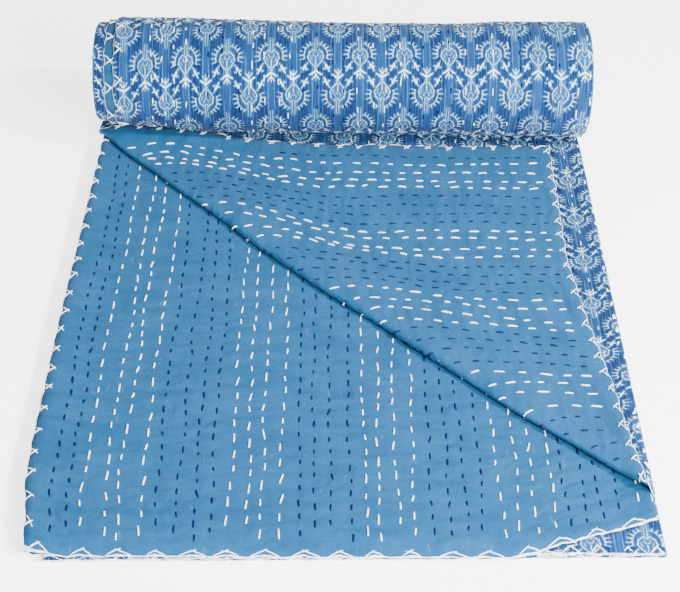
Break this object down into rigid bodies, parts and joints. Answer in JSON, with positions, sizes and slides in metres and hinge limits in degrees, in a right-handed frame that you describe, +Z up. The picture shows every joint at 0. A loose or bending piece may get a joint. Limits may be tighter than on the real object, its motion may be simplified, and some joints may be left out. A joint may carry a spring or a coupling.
{
  "type": "kantha quilt",
  "caption": "Thin hand-stitched cotton quilt, folded lengthwise, its far end rolled up and its top corner turned back to show the plain side.",
  "frame": {"origin": "on the surface the quilt lies on, under the middle of its box", "axes": "+Y from the near edge to the roll, +Z up, +X to the right as seen from the near edge"},
  "size_m": [0.5734, 0.74, 0.1503],
  "materials": {
    "quilt": "matt blue cotton, one side plain and one side printed in white and light blue"
  },
  "bodies": {
    "root": {"quilt": "quilt"}
  },
  "joints": []
}
